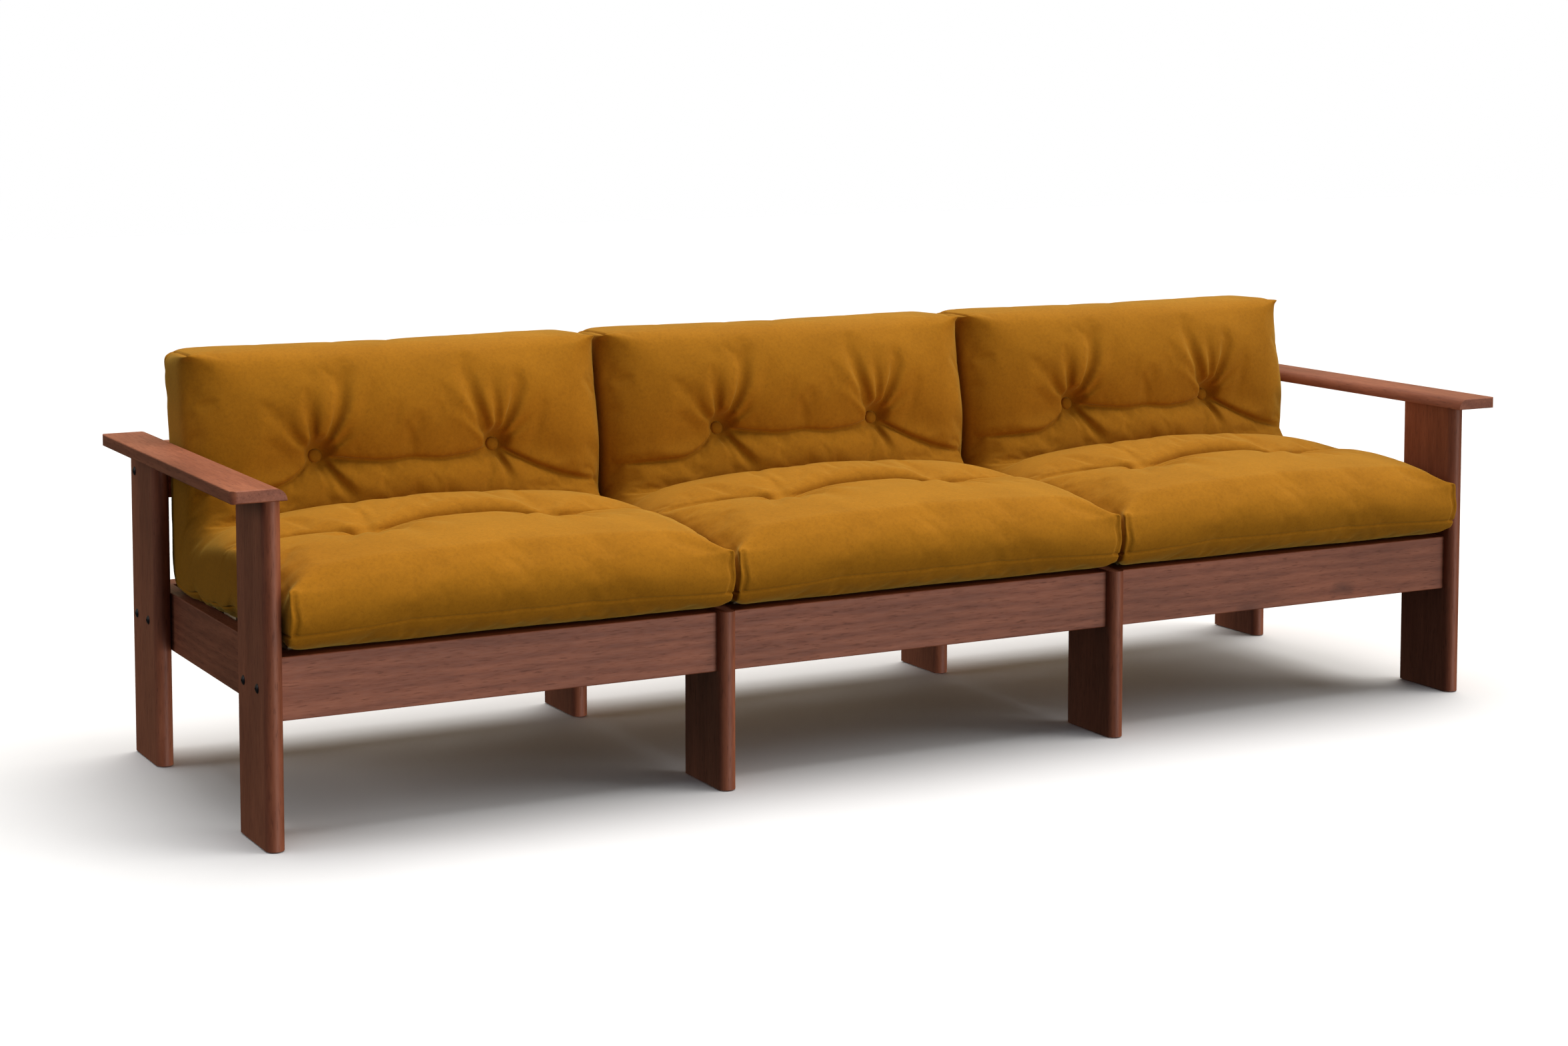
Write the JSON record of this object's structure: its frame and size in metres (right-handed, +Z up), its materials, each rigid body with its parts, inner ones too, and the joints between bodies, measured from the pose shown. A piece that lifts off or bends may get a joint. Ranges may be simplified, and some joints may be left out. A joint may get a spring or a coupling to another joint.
{
  "type": "sofa",
  "caption": "Low plank-framed sofa with flat armrests and buttoned one-piece mattresses that fold into seat and back.",
  "frame": {"origin": "floor level, in the middle of the sofa's length and depth", "axes": "+Z up; -Y is the front, where the sitter's legs are; +X along the sofa to the right seen from the front"},
  "size_m": [2.482, 0.76, 0.73],
  "materials": {
    "stained_wood": "satin red-brown stain and lacquer, fine straight grain",
    "pale_wood": "planed, unstained softwood",
    "suede_cloth": "mustard suede-like velvet with a short nap",
    "foam": "soft foam and cotton wadding",
    "cord": "waxed twine",
    "black_bolts": "black oxide, semi-matt",
    "zinc_steel": "zinc-plated steel",
    "brass": "turned brass",
    "felt": "dark pressed felt"
  },
  "bodies": {
    "frame": {"leg_front_left": "stained_wood", "leg_front_mid_left": "stained_wood", "leg_front_mid_right": "stained_wood", "leg_front_right": "stained_wood", "leg_rear_left": "stained_wood", "leg_rear_mid_left": "stained_wood", "leg_rear_mid_right": "stained_wood", "leg_rear_right": "stained_wood", "armrest_left": "stained_wood", "armrest_right": "stained_wood", "front_rail_left": "stained_wood", "front_rail_mid": "stained_wood", "front_rail_right": "stained_wood", "rear_rail_left": "stained_wood", "rear_rail_mid": "stained_wood", "rear_rail_right": "stained_wood", "back_rail_left": "stained_wood", "back_rail_mid": "stained_wood", "back_rail_right": "stained_wood", "side_rail_left_outer": "stained_wood", "side_rail_left_inner": "stained_wood", "side_rail_mid_left": "stained_wood", "side_rail_mid_right": "stained_wood", "side_rail_right_inner": "stained_wood", "side_rail_right_outer": "stained_wood", "slat_ledgers_left": "pale_wood", "slat_ledgers_mid": "pale_wood", "slat_ledgers_right": "pale_wood", "seat_slats_left": "pale_wood", "seat_slats_mid": "pale_wood", "seat_slats_right": "pale_wood", "back_slats_left": "pale_wood", "back_slats_mid": "pale_wood", "back_slats_right": "pale_wood", "rail_bolts": "black_bolts", "side_rail_bolts": "black_bolts", "tie_bolts": "black_bolts", "tie_rods": "zinc_steel", "barrel_nuts": "zinc_steel", "thread_inserts": "brass", "armrest_dowels": "pale_wood", "slat_screws": "zinc_steel", "leg_glides": "felt"},
    "mattress_left": {"mattress_cover_left": "suede_cloth", "seat_core_left": "foam", "back_core_left": "foam", "tuft_buttons_left": "suede_cloth", "tuft_cords_left": "cord"},
    "mattress_mid": {"mattress_cover_mid": "suede_cloth", "seat_core_mid": "foam", "back_core_mid": "foam", "tuft_buttons_mid": "suede_cloth", "tuft_cords_mid": "cord"},
    "mattress_right": {"mattress_cover_right": "suede_cloth", "seat_core_right": "foam", "back_core_right": "foam", "tuft_buttons_right": "suede_cloth", "tuft_cords_right": "cord"}
  },
  "joints": [
    {"name": "mattress_left_lift", "type": "slide", "parent": "frame", "child": "mattress_left", "axis": [0, 0, 1], "range_m": [0, 0.45]},
    {"name": "mattress_mid_lift", "type": "slide", "parent": "frame", "child": "mattress_mid", "axis": [0, 0, 1], "range_m": [0, 0.45]},
    {"name": "mattress_right_lift", "type": "slide", "parent": "frame", "child": "mattress_right", "axis": [0, 0, 1], "range_m": [0, 0.45]}
  ]
}
